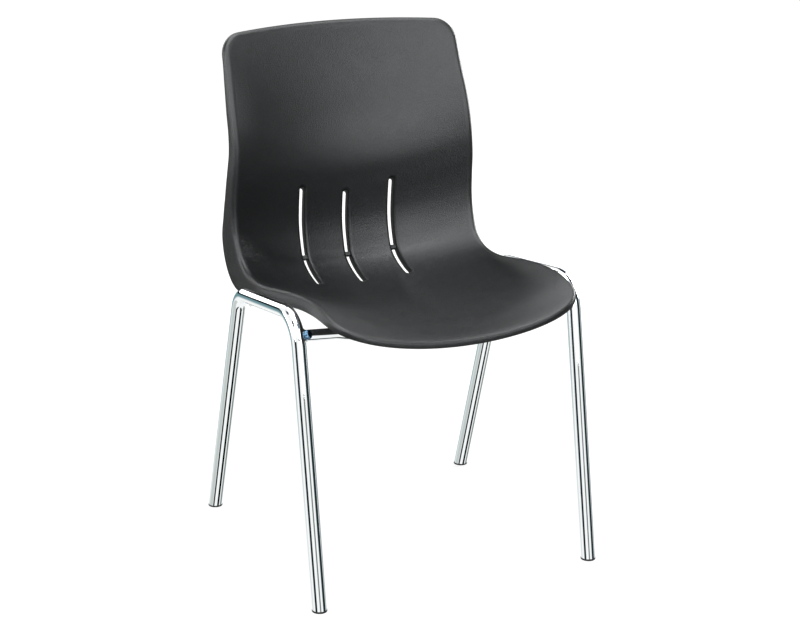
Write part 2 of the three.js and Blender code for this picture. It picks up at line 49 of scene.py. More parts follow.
# Frame tubes
TUBE_RADIUS = 11.0
TUBE_WALL = 2.0
RAIL_FRONT_REACH = 147.5
RAIL_REAR_REACH = 86.5
RAIL_REAR_HEIGHT = 407.2
RAIL_RISE = 30.5
FOOT_FRONT_REACH = 221.5
FOOT_REAR_REACH = 230.5
FRONT_BEND_RADIUS = 50.0
REAR_BEND_RADIUS = 42.0
TUBE_CUT_HEIGHT = 2.8

# Cross tubes
CROSS_RADIUS = 9.0
CROSS_WALL = 1.5
CROSS_BEND_RADIUS = 60.0
CROSS_FLAT_SHARE = 0.454
CROSS_KNEE_SHARE = 0.78
FRONT_CROSS_DROP = 31.7
REAR_CROSS_SETBACK = 30.0
CROSS_TO_FLANGE_GAP = 1.2
CROSS_TO_SHELL_GAP = 2.5
KNEE_DROP_SHARE = 0.19

# Weld fillets
WELD_LEG = 3.2
WELD_BULGE_SHARE = 0.18
WELD_BULGE = 0.5
WELD_RIPPLE = 0.05
WELD_RIPPLES = 11
WELD_ROOT = 1.0
WELD_SINK = 0.05
WELD_HALVINGS = 30

# Domed studs
STUD_INSET = 12.6
STUD_RADIUS = 7.0
STUD_HEIGHT = 3.2
STUD_SKIRT_SHARE = 0.1
STUD_TILT = math.radians(25)

# Glides
GLIDE_RIM = 2.5
GLIDE_PROUD = 0.5
GLIDE_PLUG = 18.0
GLIDE_CLEARANCE = 0.3
GLIDE_EDGE = 0.5
GLIDE_EDGE_MIDDLE = 0.3 * GLIDE_EDGE

# Shell
SHELL_HALF_WIDTH = 212.6
SHELL_TO_RAIL_GAP = 4.4
SHELL_DEPTH = 494.0
LIP_OVERHANG = 104.5
SEAT_SINK = 23.2
BACK_RISE = 413.8
DISH_DEPTH = 50.0
SHELL_WALL = 4.2
FLANGE_DEPTH = 52.0
EDGE_ROLL = 12.0
BACK_CORNER_RADIUS = 33.0
FRONT_CORNER_DEPTH = 86.0
FRONT_CORNER_POWER = 4.2
FLANGE_FLARE = math.radians(8)
ROLL_END_SHARE = 0.7
LIP_EDGE = 1.1
FRONT_LIP_SHARPNESS = 0.9
FRONT_LIP_STATIONS = (15.0, 17.5)

# Bosses
BOSS_WALL = 6.0
BOSS_EDGE = 0.8
INSERT_CLEARANCE = 0.3

# Slots
SLOT_PITCH = 78.7
SLOT_HALF = 4.4
SLOT_EDGE = 4.4
COLLAR_END_EDGE = 0.9
COLLAR_WALL = 4.6
COLLAR_DEPTH = 15.0
COLLAR_MARGIN = 4.0
DRAW_TILT = math.radians(26)
LEAST_DRAW_COSINE = 0.5
BRIDGE_HALF_HEIGHT = 4.0
BRIDGE_HALF_DEPTH = 4.0
BRIDGE_RECESS = 5.0
BRIDGE_EDGE = 2.4
OUTER_SLOT_TOP_SHARE = 0.318
MIDDLE_SLOT_TOP_SHARE = 0.331
SLOT_END_SHARE = 0.625
BRIDGE_SHARE = 0.519

# Mesh fineness
TUBE_SIDES = 72
BEND_STEPS = 28
SHELL_ROWS = 260
SLOT_CELLS = 8
BETWEEN_SLOTS = 10
OUTER_COLUMNS = 26
ROLL_STEPS = 8
FLANGE_STEPS = 4
LIP_STEPS = 4
BLEND_ROWS = 9
SLOT_EDGE_STEPS = 5
SLOT_WALL_STEPS = 4
COLLAR_STEPS = 3
BAR_EDGE_STEPS = 3
LATHE_SIDES = 48
STUD_SIDES = 64
DOME_STEPS = 10
WELD_STEPS = 8
HALVINGS = 40

# Edges that turn by more than this are shaded sharp
SHARP_ANGLE = math.radians(38)

FRAME_HALF_WIDTH = SHELL_HALF_WIDTH + SHELL_TO_RAIL_GAP + TUBE_RADIUS
SHELL_FRONT = -(RAIL_FRONT_REACH + LIP_OVERHANG)
SEAT_LOW = RAIL_REAR_HEIGHT - SEAT_SINK

# One row per station down the shell, in shares: middle line back and up, side back and up, width, flange
BACK_SHARES = [
    [1.000, 1.000, 0.943, 0.977, 0.945, 0.212],
    [0.978, 0.875, 0.911, 0.889, 0.950, 0.240],
    [0.954, 0.755, 0.881, 0.802, 0.960, 0.308],
    [0.931, 0.635, 0.849, 0.715, 0.972, 0.375],
    [0.908, 0.527, 0.825, 0.631, 0.976, 0.413],
    [0.900, 0.444, 0.814, 0.551, 0.981, 0.442],
    [0.907, 0.365, 0.815, 0.466, 0.992, 0.481],
    [0.916, 0.280, 0.823, 0.382, 0.998, 0.529],
    [0.918, 0.213, 0.825, 0.302, 1.000, 0.663],
    [0.909, 0.147, 0.814, 0.232, 1.000, 0.885],
]
SEAT_SHARES = [
    [0.888, 0.66, 0.780, 1.364, 0.993, 1.000],
    [0.833, 0.31, 0.731, 1.060, 0.990, 0.846],
    [0.752, 0.09, 0.673, 0.956, 0.990, 0.519],
    [0.651, 0.00, 0.598, 0.990, 0.990, 0.327],
    [0.529, 0.08, 0.503, 1.154, 0.988, 0.394],
    [0.398, 0.21, 0.394, 1.340, 0.978, 0.471],
    [0.266, 0.34, 0.280, 1.450, 0.968, 0.433],
    [0.145, 0.42, 0.171, 1.410, 0.958, 0.365],
    [0.050, 0.40, 0.078, 1.190, 0.958, 0.231],
    [0.000, 0.35, 0.000, 0.980, 0.958, 0.154],
]
LAST = len(BACK_SHARES) + len(SEAT_SHARES) - 1
FRONT_START = len(BACK_SHARES) + 3


# Meshes

def unit(v):
    return v / np.linalg.norm(v, axis=-1, keepdims=True)


def lerp(a, b, t):
    return a + (b - a) * t


class MeshParts:
    """Points and faces of one piece, gathered part by part."""

    def __init__(self):
        self.points = []
        self.faces = []
        self.count = 0

    def add(self, points):
        """Adds points and returns their numbers, in the shape that the points had."""
        flat = np.asarray(points, float).reshape(-1, 3)
        numbers = np.arange(self.count, self.count + len(flat))
        self.points.append(flat)
        self.count += len(flat)
        return numbers.reshape(np.asarray(points).shape[:-1])

    def strip(self, first, second):
        """Joins two closed rows of points by quads."""
        for k in range(len(first)):
            n = (k + 1) % len(first)
            self.faces.append((first[k], first[n], second[n], second[k]))

    def rings(self, rings):
        """Joins each row of points to the next."""
        for first, second in zip(rings[:-1], rings[1:]):
            self.strip(first, second)


def make_piece(name, parts, material, replaced):
    """Makes a piece from the points that its faces use, and rides it on the root body."""
    points = np.concatenate(parts.points) * MM
    mesh = bpy.data.meshes.new(name)
    used = sorted({i for face in parts.faces for i in face})
    renumber = {old: new for new, old in enumerate(used)}
    faces = [[renumber[i] for i in face] for face in parts.faces]
    mesh.from_pydata(points[used].tolist(), [], faces)
    mesh.validate()
    mesh.polygons.foreach_set("use_smooth", [True] * len(mesh.polygons))
    mesh.set_sharp_from_angle(angle=SHARP_ANGLE)
    mesh.update()
    obj = bpy.data.objects.new(name, mesh)
    bpy.context.scene.collection.objects.link(obj)
    mesh.materials.append(material)
    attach(obj, ROOT)
    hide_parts(*replaced)


# Shell surface: the same formula as the CAD solid's, on a finer grid

def station_rows():
    rows = []
    for shares, rise in ((BACK_SHARES, BACK_RISE), (SEAT_SHARES, DISH_DEPTH)):
        for middle_back, middle_up, side_back, side_up, width, flange in shares:
            rows.append([
                SHELL_FRONT + middle_back * SHELL_DEPTH, SEAT_LOW + middle_up * rise,
                SHELL_FRONT + side_back * SHELL_DEPTH, SEAT_LOW + side_up * rise,
                width * SHELL_HALF_WIDTH, flange * FLANGE_DEPTH,
            ])
    rows = np.array(rows)
    return np.vstack([2 * rows[0] - rows[1], rows, 2 * rows[-1] - rows[-2]])


STATIONS = station_rows()
TOP_HALF = STATIONS[1, 4]


def through_stations(s):
    """The stations' values at station number s, on a smooth curve through them."""
    s = np.clip(np.asarray(s, float), 0, LAST)
    i = np.minimum(s.astype(int), LAST - 1)
    t = (s - i)[..., None]
    before, here, after, beyond = (STATIONS[i + k] for k in range(4))
    return 0.5 * (
        2 * here + (after - before) * t
        + (2 * before - 5 * here + 4 * after - beyond) * t**2
        + (3 * here - before - 3 * after + beyond) * t**3
    )


def smoothstep(x, low, high):
    t = np.clip((x - low) / (high - low), 0, 1)
    return t * t * (3 - 2 * t)


def half_width(s):
    return through_stations(s)[..., 4]


def shell_point(a, s):
    a, s = np.broadcast_arrays(np.asarray(a, float), np.asarray(s, float))
    row = through_stations(s)
    dish = a**2
    return np.stack([
        a * row[..., 4],
        lerp(row[..., 0], row[..., 2], dish),
        lerp(row[..., 1], row[..., 3], dish),
    ], -1)


def shell_normals(a, s):
    """Unit normals towards the sitter: that of the face, and that of the profile line alone."""
    step = 0.001
    down = shell_point(a, np.minimum(s + step, LAST)) - shell_point(a, np.maximum(s - step, 0))
    across = shell_point(a + step, s) - shell_point(a - step, s)
    profile = np.stack([np.zeros_like(down[..., 0]), down[..., 2], -down[..., 1]], -1)
    return unit(np.cross(down, across)), unit(profile)


def station_where(test, low, high, shape=()):
    """The station between low and high where a test that holds at low stops holding."""
    low, high = np.full(shape, float(low)), np.full(shape, float(high))
    for _ in range(HALVINGS):
        middle = (low + high) / 2
        keep = test(middle)
        low, high = np.where(keep, middle, low), np.where(keep, high, middle)
    return (low + high) / 2


def column_ends(a):
    """Stations where columns a start at the back's rounded top edge and end at the curved lip."""
    radius = BACK_CORNER_RADIUS - EDGE_ROLL
    past = np.clip(np.abs(a) * TOP_HALF - (TOP_HALF - BACK_CORNER_RADIUS), 0, radius)
    drop = BACK_CORNER_RADIUS - np.sqrt(np.maximum(radius**2 - past**2, 0))
    side_step = np.linalg.norm(STATIONS[1, [2, 3]] - STATIONS[2, [2, 3]])
    side_step = math.hypot(side_step, STATIONS[1, 4] - STATIONS[2, 4])
    across = np.minimum(np.abs(a) / (1 - EDGE_ROLL / TOP_HALF), 1)
    roundness = (1 - across**FRONT_CORNER_POWER) ** (1 / FRONT_CORNER_POWER)
    reach = SHELL_FRONT + FRONT_CORNER_DEPTH - (FRONT_CORNER_DEPTH - EDGE_ROLL) * roundness
    front = station_where(lambda s: shell_point(a, s)[..., 1] > reach, FRONT_START, LAST, np.shape(a))
    return drop / side_step, front


# Slots: each is a strip of grid cells left out, with round ends

def slot_list():
    slots = []
    for x in (-SLOT_PITCH, 0.0, SLOT_PITCH):
        share = MIDDLE_SLOT_TOP_SHARE if x == 0 else OUTER_SLOT_TOP_SHARE
        slots.append({"x": x, "a": x / SHELL_HALF_WIDTH, "top": share * LAST, "end": SLOT_END_SHARE * LAST})
    return slots


SLOTS = slot_list()


def per_station(slot, s):
    """Millimetres down the shell per station, at a slot."""
    return np.linalg.norm(shell_point(slot["a"], s + 0.5) - shell_point(slot["a"], s - 0.5))


def strip_angles():
    """Angles round a slot's end, one for each grid line that ends there."""
    return np.linspace(-math.pi / 2, math.pi / 2, SLOT_CELLS + 1)


def reference_columns(stretch):
    """Distances across the shell of the grid's columns, each slot's first column, and the last distance."""
    half = SLOT_HALF + stretch
    inner, starts = [], []
    next_edge = SLOT_HALF + COLLAR_WALL + COLLAR_MARGIN
    for k, slot in enumerate(SLOTS):
        starts.append(len(inner))
        inner += list(slot["x"] + half * np.sin(strip_angles()))
        if k < len(SLOTS) - 1:
            low, high = slot["x"] + next_edge, SLOTS[k + 1]["x"] - next_edge
            inner += list(np.linspace(low, high, BETWEEN_SLOTS))
    edge = SLOT_PITCH + next_edge
    return np.array(inner), starts, edge


def shell_grid(stretch):
    """Column shares, stations and holes of a grid whose lines follow the slots widened by stretch."""
    inner, starts, edge = reference_columns(stretch)
    widest = 1 - EDGE_ROLL / TOP_HALF
    sweep = np.sin(np.pi / 2 * np.linspace(0, 1, OUTER_COLUMNS))
    starts = [start + OUTER_COLUMNS for start in starts]
    columns = OUTER_COLUMNS * 2 + len(inner)
    nominal = np.empty(columns)
    nominal[OUTER_COLUMNS:-OUTER_COLUMNS] = inner / SHELL_HALF_WIDTH
    outer = lerp(edge / SHELL_HALF_WIDTH, widest, sweep)
    nominal[-OUTER_COLUMNS:] = outer
    nominal[:OUTER_COLUMNS] = -outer[::-1]
    # The outermost columns lie exactly on the rim
    nominal[0], nominal[-1] = -widest, widest
    top, front = column_ends(nominal)
    w = np.linspace(0, 1, SHELL_ROWS + 1)[:, None]
    s = lerp(top, front, w)
    a = np.empty_like(s)
    edge_share = edge / half_width(s)[:, -1:]
    a[:, -OUTER_COLUMNS:] = lerp(edge_share, widest, sweep)
    a[:, :OUTER_COLUMNS] = -a[:, :-OUTER_COLUMNS - 1:-1]
    holes = []
    for slot, start in zip(SLOTS, starts):
        strip = slice(start, start + SLOT_CELLS + 1)
        middle = start + SLOT_CELLS // 2
        ends = []
        for end, sign in ((slot["top"], 1), (slot["end"], -1)):
            pace = per_station(slot, end)
            arc = end + sign * (SLOT_HALF - (SLOT_HALF + stretch) * np.cos(strip_angles())) / pace
            row = int(np.argmin(np.abs(s[:, middle] - (end + sign * SLOT_HALF / 2 / pace))))
            ends.append((row, arc))
        for row, arc in ends:
            shift = arc - s[row, strip]
            for j in range(row - BLEND_ROWS, row + BLEND_ROWS + 1):
                t = abs(j - row) / (BLEND_ROWS + 1)
                s[j, strip] += shift * (1 - t) ** 2 * (1 + 2 * t)
        holes.append((strip, ends[0][0], ends[1][0]))
    inner_width = half_width(s)[:, OUTER_COLUMNS:-OUTER_COLUMNS]
    a[:, OUTER_COLUMNS:-OUTER_COLUMNS] = inner / inner_width
    return a, s, holes


def hole_loop(hole):
    """Grid places [row, column] round a slot's hole."""
    strip, top, bottom = hole
    left, right = strip.start, strip.stop - 1
    places = [(top, i) for i in range(left, right)]
    places += [(j, right) for j in range(top, bottom)]
    places += [(bottom, i) for i in range(right, left, -1)]
    places += [(j, left) for j in range(bottom, top, -1)]
    return tuple(np.array(places).T)


def rim_loop(rows, columns):
    """Grid places [row, column] round the whole face."""
    places = [(0, i) for i in range(columns)]
    places += [(j, columns) for j in range(rows)]
    places += [(rows, i) for i in range(columns, 0, -1)]
    places += [(j, 0) for j in range(rows, 0, -1)]
    return tuple(np.array(places).T)


def rolled(start, control, end, t, weight=1.0):
    """Point t of a curve from start to end that bends towards control, the more so the greater the weight."""
    shares = (1 - t) ** 2, 2 * weight * t * (1 - t), t**2
    return (start * shares[0] + control * shares[1] + end * shares[2]) / sum(shares)


def edge_rings(place, face, profile, s):
    """Rings of points from the face's rim over the roll, down the flange, round its lip and back inside."""
    tangent = unit(np.roll(place, -1, 0) - np.roll(place, 1, 0))
    outward = unit(np.cross(face, tangent))
    level = unit(outward - (outward * profile).sum(-1, keepdims=True) * profile)
    turned = -profile * math.cos(FLANGE_FLARE) + level * math.sin(FLANGE_FLARE)
    flange_face = level * math.cos(FLANGE_FLARE) + profile * math.sin(FLANGE_FLARE)
    depth = through_stations(s)[..., 5:6]
    corner = place + outward * EDGE_ROLL
    roll_end = corner + turned * np.minimum(EDGE_ROLL, ROLL_END_SHARE * depth)
    lip = corner + turned * depth
    under = place - face * SHELL_WALL
    reach = ((corner - flange_face * SHELL_WALL - under) * flange_face).sum(-1, keepdims=True)
    inner_corner = under + outward * reach / (outward * flange_face).sum(-1, keepdims=True)
    inner_end = roll_end - flange_face * SHELL_WALL
    inner_lip = lip - flange_face * SHELL_WALL
    weight = 1 + FRONT_LIP_SHARPNESS * smoothstep(s, *FRONT_LIP_STATIONS)[:, None]
    rings = [rolled(place, corner, roll_end, k / ROLL_STEPS, weight) for k in range(1, ROLL_STEPS + 1)]
    lip_start = lip - turned * LIP_EDGE
    rings += [lerp(roll_end, lip_start, k / FLANGE_STEPS) for k in range(1, FLANGE_STEPS)]
    rings += round_corner(lip_start, lip, lip - flange_face * LIP_EDGE)
    rings += round_corner(inner_lip + flange_face * LIP_EDGE, inner_lip, inner_lip - turned * LIP_EDGE)
    inner_start = inner_lip - turned * LIP_EDGE
    rings += [lerp(inner_start, inner_end, k / FLANGE_STEPS) for k in range(1, FLANGE_STEPS)]
    rings += [rolled(under, inner_corner, inner_end, k / ROLL_STEPS) for k in range(ROLL_STEPS, 0, -1)]
    return rings


def round_corner(start, corner, end):
    return [rolled(start, corner, end, k / LIP_STEPS) for k in range(LIP_STEPS + 1)]


def slot_rings(slot, a, s):
    """Rings of points down a slot's wall, round the collar's end and back up its outside."""
    _, profile = shell_normals(np.full_like(s, slot["a"]), s)
    draw = np.array([0.0, -math.cos(DRAW_TILT), math.sin(DRAW_TILT)])
    under_depth = (SHELL_WALL + COLLAR_END_EDGE) / np.maximum(profile @ draw, LEAST_DRAW_COSINE)
    x = a * half_width(s)
    centre = np.full_like(x, slot["x"])
    pace = np.where(s < (slot["top"] + slot["end"]) / 2,
                    per_station(slot, slot["top"]), per_station(slot, slot["end"]))
    # Direction across the outline, in millimetres across and along the shell
    along_top = np.minimum(s - (slot["top"] + SLOT_HALF / per_station(slot, slot["top"])), 0)
    along_end = np.maximum(s - (slot["end"] - SLOT_HALF / per_station(slot, slot["end"])), 0)
    out = unit(np.stack([x - centre, (along_top + along_end) * pace], -1))

    def ring(stretch, depth):
        shift = stretch - SLOT_EDGE
        x_now, s_now = x + out[:, 0] * shift, s + out[:, 1] * shift / pace
        return shell_point(x_now / half_width(s_now), s_now) - draw * np.reshape(depth, (-1, 1))

    edge, end, wall = COLLAR_END_EDGE, COLLAR_DEPTH, COLLAR_WALL
    quarter = [math.pi / 2 * k / SLOT_EDGE_STEPS for k in range(1, SLOT_EDGE_STEPS + 1)]
    wall_shares = [k / SLOT_WALL_STEPS for k in range(1, SLOT_WALL_STEPS + 1)]
    collar_shares = [k / COLLAR_STEPS for k in range(1, COLLAR_STEPS + 1)]
    rings = [ring(SLOT_EDGE * (1 - math.sin(q)), SLOT_EDGE * (1 - math.cos(q))) for q in quarter]
    rings += [ring(0, lerp(SLOT_EDGE, end - edge, share)) for share in wall_shares]
    rings += [ring(edge * (1 - math.cos(q)), end - edge * (1 - math.sin(q))) for q in quarter]
    rings += [ring(wall - edge * (1 - math.sin(q)), end - edge * (1 - math.cos(q))) for q in quarter]
    rings += [ring(wall, lerp(end - edge, under_depth, share)) for share in collar_shares]
    return rings


def grid_faces(parts, numbers, holes, flip):
    """Faces of a grid of points, apart from those in the slots' holes."""
    gone = {}
    for strip, top, bottom in holes:
        for j in range(top, bottom):
            gone.setdefault(j, []).append((strip.start, strip.stop - 2))
    rows, columns = numbers.shape
    for j in range(rows - 1):
        skipped = gone.get(j, [])
        for i in range(columns - 1):
            if any(low <= i <= high for low, high in skipped):
                continue
            face = (numbers[j, i], numbers[j + 1, i], numbers[j + 1, i + 1], numbers[j, i + 1])
            parts.faces.append(face[::-1] if flip else face)


def add_slot_wall(parts, slot, hole, a, s, upper, lower):
    loop = hole_loop(hole)
    rings = [upper[loop]] + [parts.add(r) for r in slot_rings(slot, a[loop], s[loop])] + [lower[loop]]
    parts.rings(rings)


def add_rounded_bar(parts, centre, axes, half_sizes, edge):
    """A bar along its first axis, with rounded long edges and flat ends."""
    along, side, up = axes
    corners = [(1, 1), (-1, 1), (-1, -1), (1, -1)]
    outline = []
    for k, (cx, cy) in enumerate(corners):
        for i in range(BAR_EDGE_STEPS + 1):
            angle = math.pi / 2 * (k + i / BAR_EDGE_STEPS)
            outline.append((
                cx * (half_sizes[1] - edge) + edge * math.cos(angle),
                cy * (half_sizes[2] - edge) + edge * math.sin(angle),
            ))
    rings = []
    for reach in (-1, 1):
        ring = [centre + along * reach * half_sizes[0] + side * u + up * v for u, v in outline]
        rings.append(parts.add(ring))
    parts.strip(rings[0], rings[1])
    parts.faces.append(tuple(rings[0][::-1]))
    parts.faces.append(tuple(rings[1]))


def add_bridges(parts):
    for slot in SLOTS:
        s = np.array(BRIDGE_SHARE * LAST)
        _, profile = shell_normals(np.array(slot["a"]), s)
        centre = shell_point(slot["a"], s) - profile * (BRIDGE_RECESS + BRIDGE_HALF_DEPTH)
        centre[0] = slot["x"]
        along = np.array([1.0, 0, 0])
        side = np.cross(profile, along)
        half_sizes = (SLOT_HALF + COLLAR_WALL / 2, BRIDGE_HALF_HEIGHT, BRIDGE_HALF_DEPTH)
        add_rounded_bar(parts, centre, (along, side, profile), half_sizes, BRIDGE_EDGE)


def moulded_shell(material):
    parts = MeshParts()
    a, s, holes = shell_grid(SLOT_EDGE)
    face, profile = shell_normals(a, s)
    place = shell_point(a, s)
    upper = parts.add(place)
    under_a, under_s, under_holes = shell_grid(COLLAR_WALL)
    under_face, _ = shell_normals(under_a, under_s)
    under_place = shell_point(under_a, under_s) - under_face * SHELL_WALL
    lower = parts.add(under_place)
    grid_faces(parts, upper, holes, False)
    grid_faces(parts, lower, under_holes, True)
    for slot, hole in zip(SLOTS, holes):
        add_slot_wall(parts, slot, hole, a, s, upper, lower)
    rim = rim_loop(*(n - 1 for n in a.shape))
    rings = edge_rings(place[rim], face[rim], profile[rim], s[rim])
    numbers = [upper[rim]] + [parts.add(ring) for ring in rings[:-1]] + [lower[rim]]
    parts.rings(numbers)
    add_bridges(parts)
    add_bosses(parts)
    make_piece("moulded_shell", parts, material, ["seat_shell"])


def add_lathe(parts, centre, axis, outline, sides=LATHE_SIDES):
    """A closed solid of revolution about axis through centre, from [radius, height] pairs."""
    axis = unit(np.asarray(axis, float))
    side = unit(np.cross(axis, [0.0, 0, 1]) if abs(axis[2]) < 0.9 else np.cross(axis, [0.0, 1, 0]))
    other = np.cross(axis, side)
    angles = np.linspace(0, 2 * math.pi, sides, endpoint=False)
    spokes = np.outer(np.cos(angles), side) + np.outer(np.sin(angles), other)
    rings = []
    for radius, height in outline:
        if radius == 0:
            rings.append(parts.add([centre + axis * height])[[0] * sides])
        else:
            rings.append(parts.add(centre + axis * height + spokes * radius))
    for first, second in zip(rings, rings[1:] + rings[:1]):
        for k in range(sides):
            n = (k + 1) % sides
            face = list(dict.fromkeys((first[k], first[n], second[n], second[k])))
            if len(face) > 2:
                parts.faces.append(tuple(face))


def add_bosses(parts):
    """Bosses under the shell that hold the threaded inserts, placed round the inserts of the frame."""
    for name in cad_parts:
        if not name.startswith("threaded_insert"):
            continue
        low, high = (np.array(c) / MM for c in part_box(name))
        x, y, _ = (low + high) / 2
        insert_radius = (high[0] - low[0]) / 2
        bore, radius = insert_radius + INSERT_CLEARANCE, insert_radius + BOSS_WALL
        a = x / SHELL_HALF_WIDTH
        s = station_where(lambda t: shell_point(a, t)[..., 1] > y, len(BACK_SHARES), LAST)
        bottom, top = low[2], float(shell_point(a, s)[2]) - SHELL_WALL / 2
        outline = [
            (bore, bottom), (radius - BOSS_EDGE, bottom), (radius - BOSS_EDGE / 4, bottom + BOSS_EDGE / 4),
            (radius, bottom + BOSS_EDGE), (radius, top), (bore, top),
        ]
        add_lathe(parts, np.array([x, y, 0.0]), (0, 0, 1), outline)


# Tubes

def bent_line(corners, radii, steps):
    """Points of a line through corners, with an arc of the given radius at each inner corner."""
    corners = [np.asarray(c, float) for c in corners]
    places = [corners[0]]
    for before, corner, after, radius in zip(corners, corners[1:], corners[2:], radii):
        inward, onward = unit(before - corner), unit(after - corner)
        half_turn = (math.pi - math.acos(float(inward @ onward))) / 2
        to_centre = unit(inward + onward)
        centre = corner + to_centre * radius / math.cos(half_turn)
        across = unit(onward - inward)
        for k in range(steps + 1):
            angle = lerp(-half_turn, half_turn, k / steps)
            places.append(centre - to_centre * radius * math.cos(angle) + across * radius * math.sin(angle))
    places.append(corners[-1])
    return np.array(places)


def tube_rings(line, plane_normal, radius):
    """Rings of points round a line that lies in a plane."""
    steps = unit(np.diff(line, axis=0))
    tangents = unit(np.vstack([steps[:1], steps[:-1] + steps[1:], steps[-1:]]))
    first = np.broadcast_to(plane_normal, tangents.shape)
    second = np.cross(tangents, first)
    angles = np.linspace(0, 2 * math.pi, TUBE_SIDES, endpoint=False)
    return (line[:, None] + radius * (np.cos(angles)[None, :, None] * first[:, None]
                                      + np.sin(angles)[None, :, None] * second[:, None]))


def level_end(ring, direction, height):
    """The ring moved along a direction until each of its points is at one height."""
    return ring + direction * ((height - ring[:, 2]) / direction[2])[:, None]


def side_line(side):
    """Middle line of a side tube, from the front foot over the rail to the rear foot."""
    x = side * FRAME_HALF_WIDTH
    corners = [
        (x, -FOOT_FRONT_REACH, 0), (x, -RAIL_FRONT_REACH, RAIL_REAR_HEIGHT + RAIL_RISE),
        (x, RAIL_REAR_REACH, RAIL_REAR_HEIGHT), (x, FOOT_REAR_REACH, 0),
    ]
    return bent_line(corners, [FRONT_BEND_RADIUS, REAR_BEND_RADIUS], BEND_STEPS)


def side_tube(name, side, material):
    line = side_line(side)
    parts = MeshParts()
    layers = []
    for radius in (TUBE_RADIUS, TUBE_RADIUS - TUBE_WALL):
        rings = tube_rings(line, (1.0, 0, 0), radius)
        rings[0] = level_end(rings[0], unit(line[1] - line[0]), TUBE_CUT_HEIGHT)
        rings[-1] = level_end(rings[-1], unit(line[-2] - line[-1]), TUBE_CUT_HEIGHT)
        layers.append([parts.add(ring) for ring in rings])
    outer, inner = layers
    parts.rings(outer + inner[::-1] + outer[:1])
    make_piece(name, parts, material, ["side_frame_" + ("left" if side > 0 else "right")])


def height_over_plan(y):
    """Height of the shell's underside on its middle line over one place of the plan."""
    s = station_where(lambda t: shell_point(0.0, t)[..., 1] > y, len(BACK_SHARES), LAST)
    face, _ = shell_normals(np.array(0.0), s)
    return float(shell_point(0.0, s)[2] - SHELL_WALL / face[2])


def cross_line(y, end_height):
    """Middle line of a cross tube that dips under the shell, from the right side tube to the left one."""
    middle = height_over_plan(y) - CROSS_TO_SHELL_GAP - CROSS_RADIUS
    knee = lerp(end_height, middle, KNEE_DROP_SHARE)
    half = [
        (FRAME_HALF_WIDTH - TUBE_RADIUS / 2, end_height),
        (CROSS_KNEE_SHARE * SHELL_HALF_WIDTH, knee),
        (CROSS_FLAT_SHARE * SHELL_HALF_WIDTH, middle),
    ]
    corners = [(-x, y, z) for x, z in half] + [(x, y, z) for x, z in reversed(half)]
    return bent_line(corners, [CROSS_BEND_RADIUS] * 4, BEND_STEPS // 2)


def distance_to_line(points, line):
    """Nearest distance from each point to a line of straight steps, and the nearest places."""
    best = np.full(len(points), np.inf)
    nearest = np.zeros_like(points)
    for start, end in zip(line[:-1], line[1:]):
        step = end - start
        t = np.clip(((points - start) @ step) / (step @ step), 0, 1)
        place = start + t[:, None] * step
        gap = np.linalg.norm(points - place, axis=1)
        closer = gap < best
        best[closer], nearest[closer] = gap[closer], place[closer]
    return best, nearest


def add_weld(parts, line, side):
    """A fillet where the cross tube's end meets the side tube."""
    rail = side_line(side)
    end, before = (line[-1], line[-2]) if side > 0 else (line[0], line[1])
    along = unit(end - before)
    spokes = tube_rings(np.array([before, end]), (0, 1.0, 0), CROSS_RADIUS)[0] - before
    reach_in, reach_out = np.zeros(TUBE_SIDES), np.full(TUBE_SIDES, float(np.linalg.norm(end - before)))
    for _ in range(WELD_HALVINGS):
        middle = (reach_in + reach_out) / 2
        outside = distance_to_line(before + spokes + along * middle[:, None], rail)[0] > TUBE_RADIUS
        reach_in, reach_out = np.where(outside, middle, reach_in), np.where(outside, reach_out, middle)
    contact = before + spokes + along * reach_in[:, None]
    start = contact - along * WELD_LEG
    lifted = contact + unit(spokes) * WELD_LEG
    _, nearest = distance_to_line(lifted, rail)
    finish = nearest + unit(lifted - nearest) * (TUBE_RADIUS - WELD_SINK)
    angles = np.linspace(0, 2 * math.pi, TUBE_SIDES, endpoint=False)[:, None]
    ripple = 1 + WELD_RIPPLE * np.sin(angles * WELD_RIPPLES + side)
    control = contact + (lifted - contact) * WELD_BULGE_SHARE * ripple - along * WELD_BULGE * ripple
    inside = contact - unit(spokes) * WELD_ROOT
    rings = [rolled(start, control, finish, k / WELD_STEPS) for k in range(WELD_STEPS + 1)]
    rings = [parts.add(r) for r in [inside - along * WELD_LEG, *rings, inside + along * WELD_ROOT]]
    parts.rings(rings + rings[:1])


def cross_tube(name, y, end_height, material):
    line = cross_line(y, end_height)
    parts = MeshParts()
    layers = []
    for radius in (CROSS_RADIUS, CROSS_RADIUS - CROSS_WALL):
        layers.append([parts.add(ring) for ring in tube_rings(line, (0, 1.0, 0), radius)])
    outer, inner = layers
    parts.rings(outer + inner[::-1] + outer[:1])
    for side in (1, -1):
        add_weld(parts, line, side)
    make_piece(name + "_welded", parts, material, [name])
    return line


def cross_places():
    """Place back and height of each cross tube's ends: on the front legs, and under the shell's flange."""
    rail = side_line(1)
    height = RAIL_REAR_HEIGHT + RAIL_RISE - FRONT_CROSS_DROP
    k = int(np.argmax(rail[:, 2] >= height))
    t = (height - rail[k - 1, 2]) / (rail[k, 2] - rail[k - 1, 2])
    front_y = lerp(rail[k - 1, 1], rail[k, 1], t)
    rear_y = RAIL_REAR_REACH - REAR_CROSS_SETBACK
    s = station_where(lambda u: shell_point(1.0, u)[..., 1] > rear_y, len(BACK_SHARES), LAST)
    _, profile = shell_normals(np.array(1.0), s)
    flange_bottom = shell_point(1.0, s)[2] - through_stations(s)[5] * profile[2]
    return (front_y, height), (rear_y, float(flange_bottom) - CROSS_TO_FLANGE_GAP - CROSS_RADIUS)


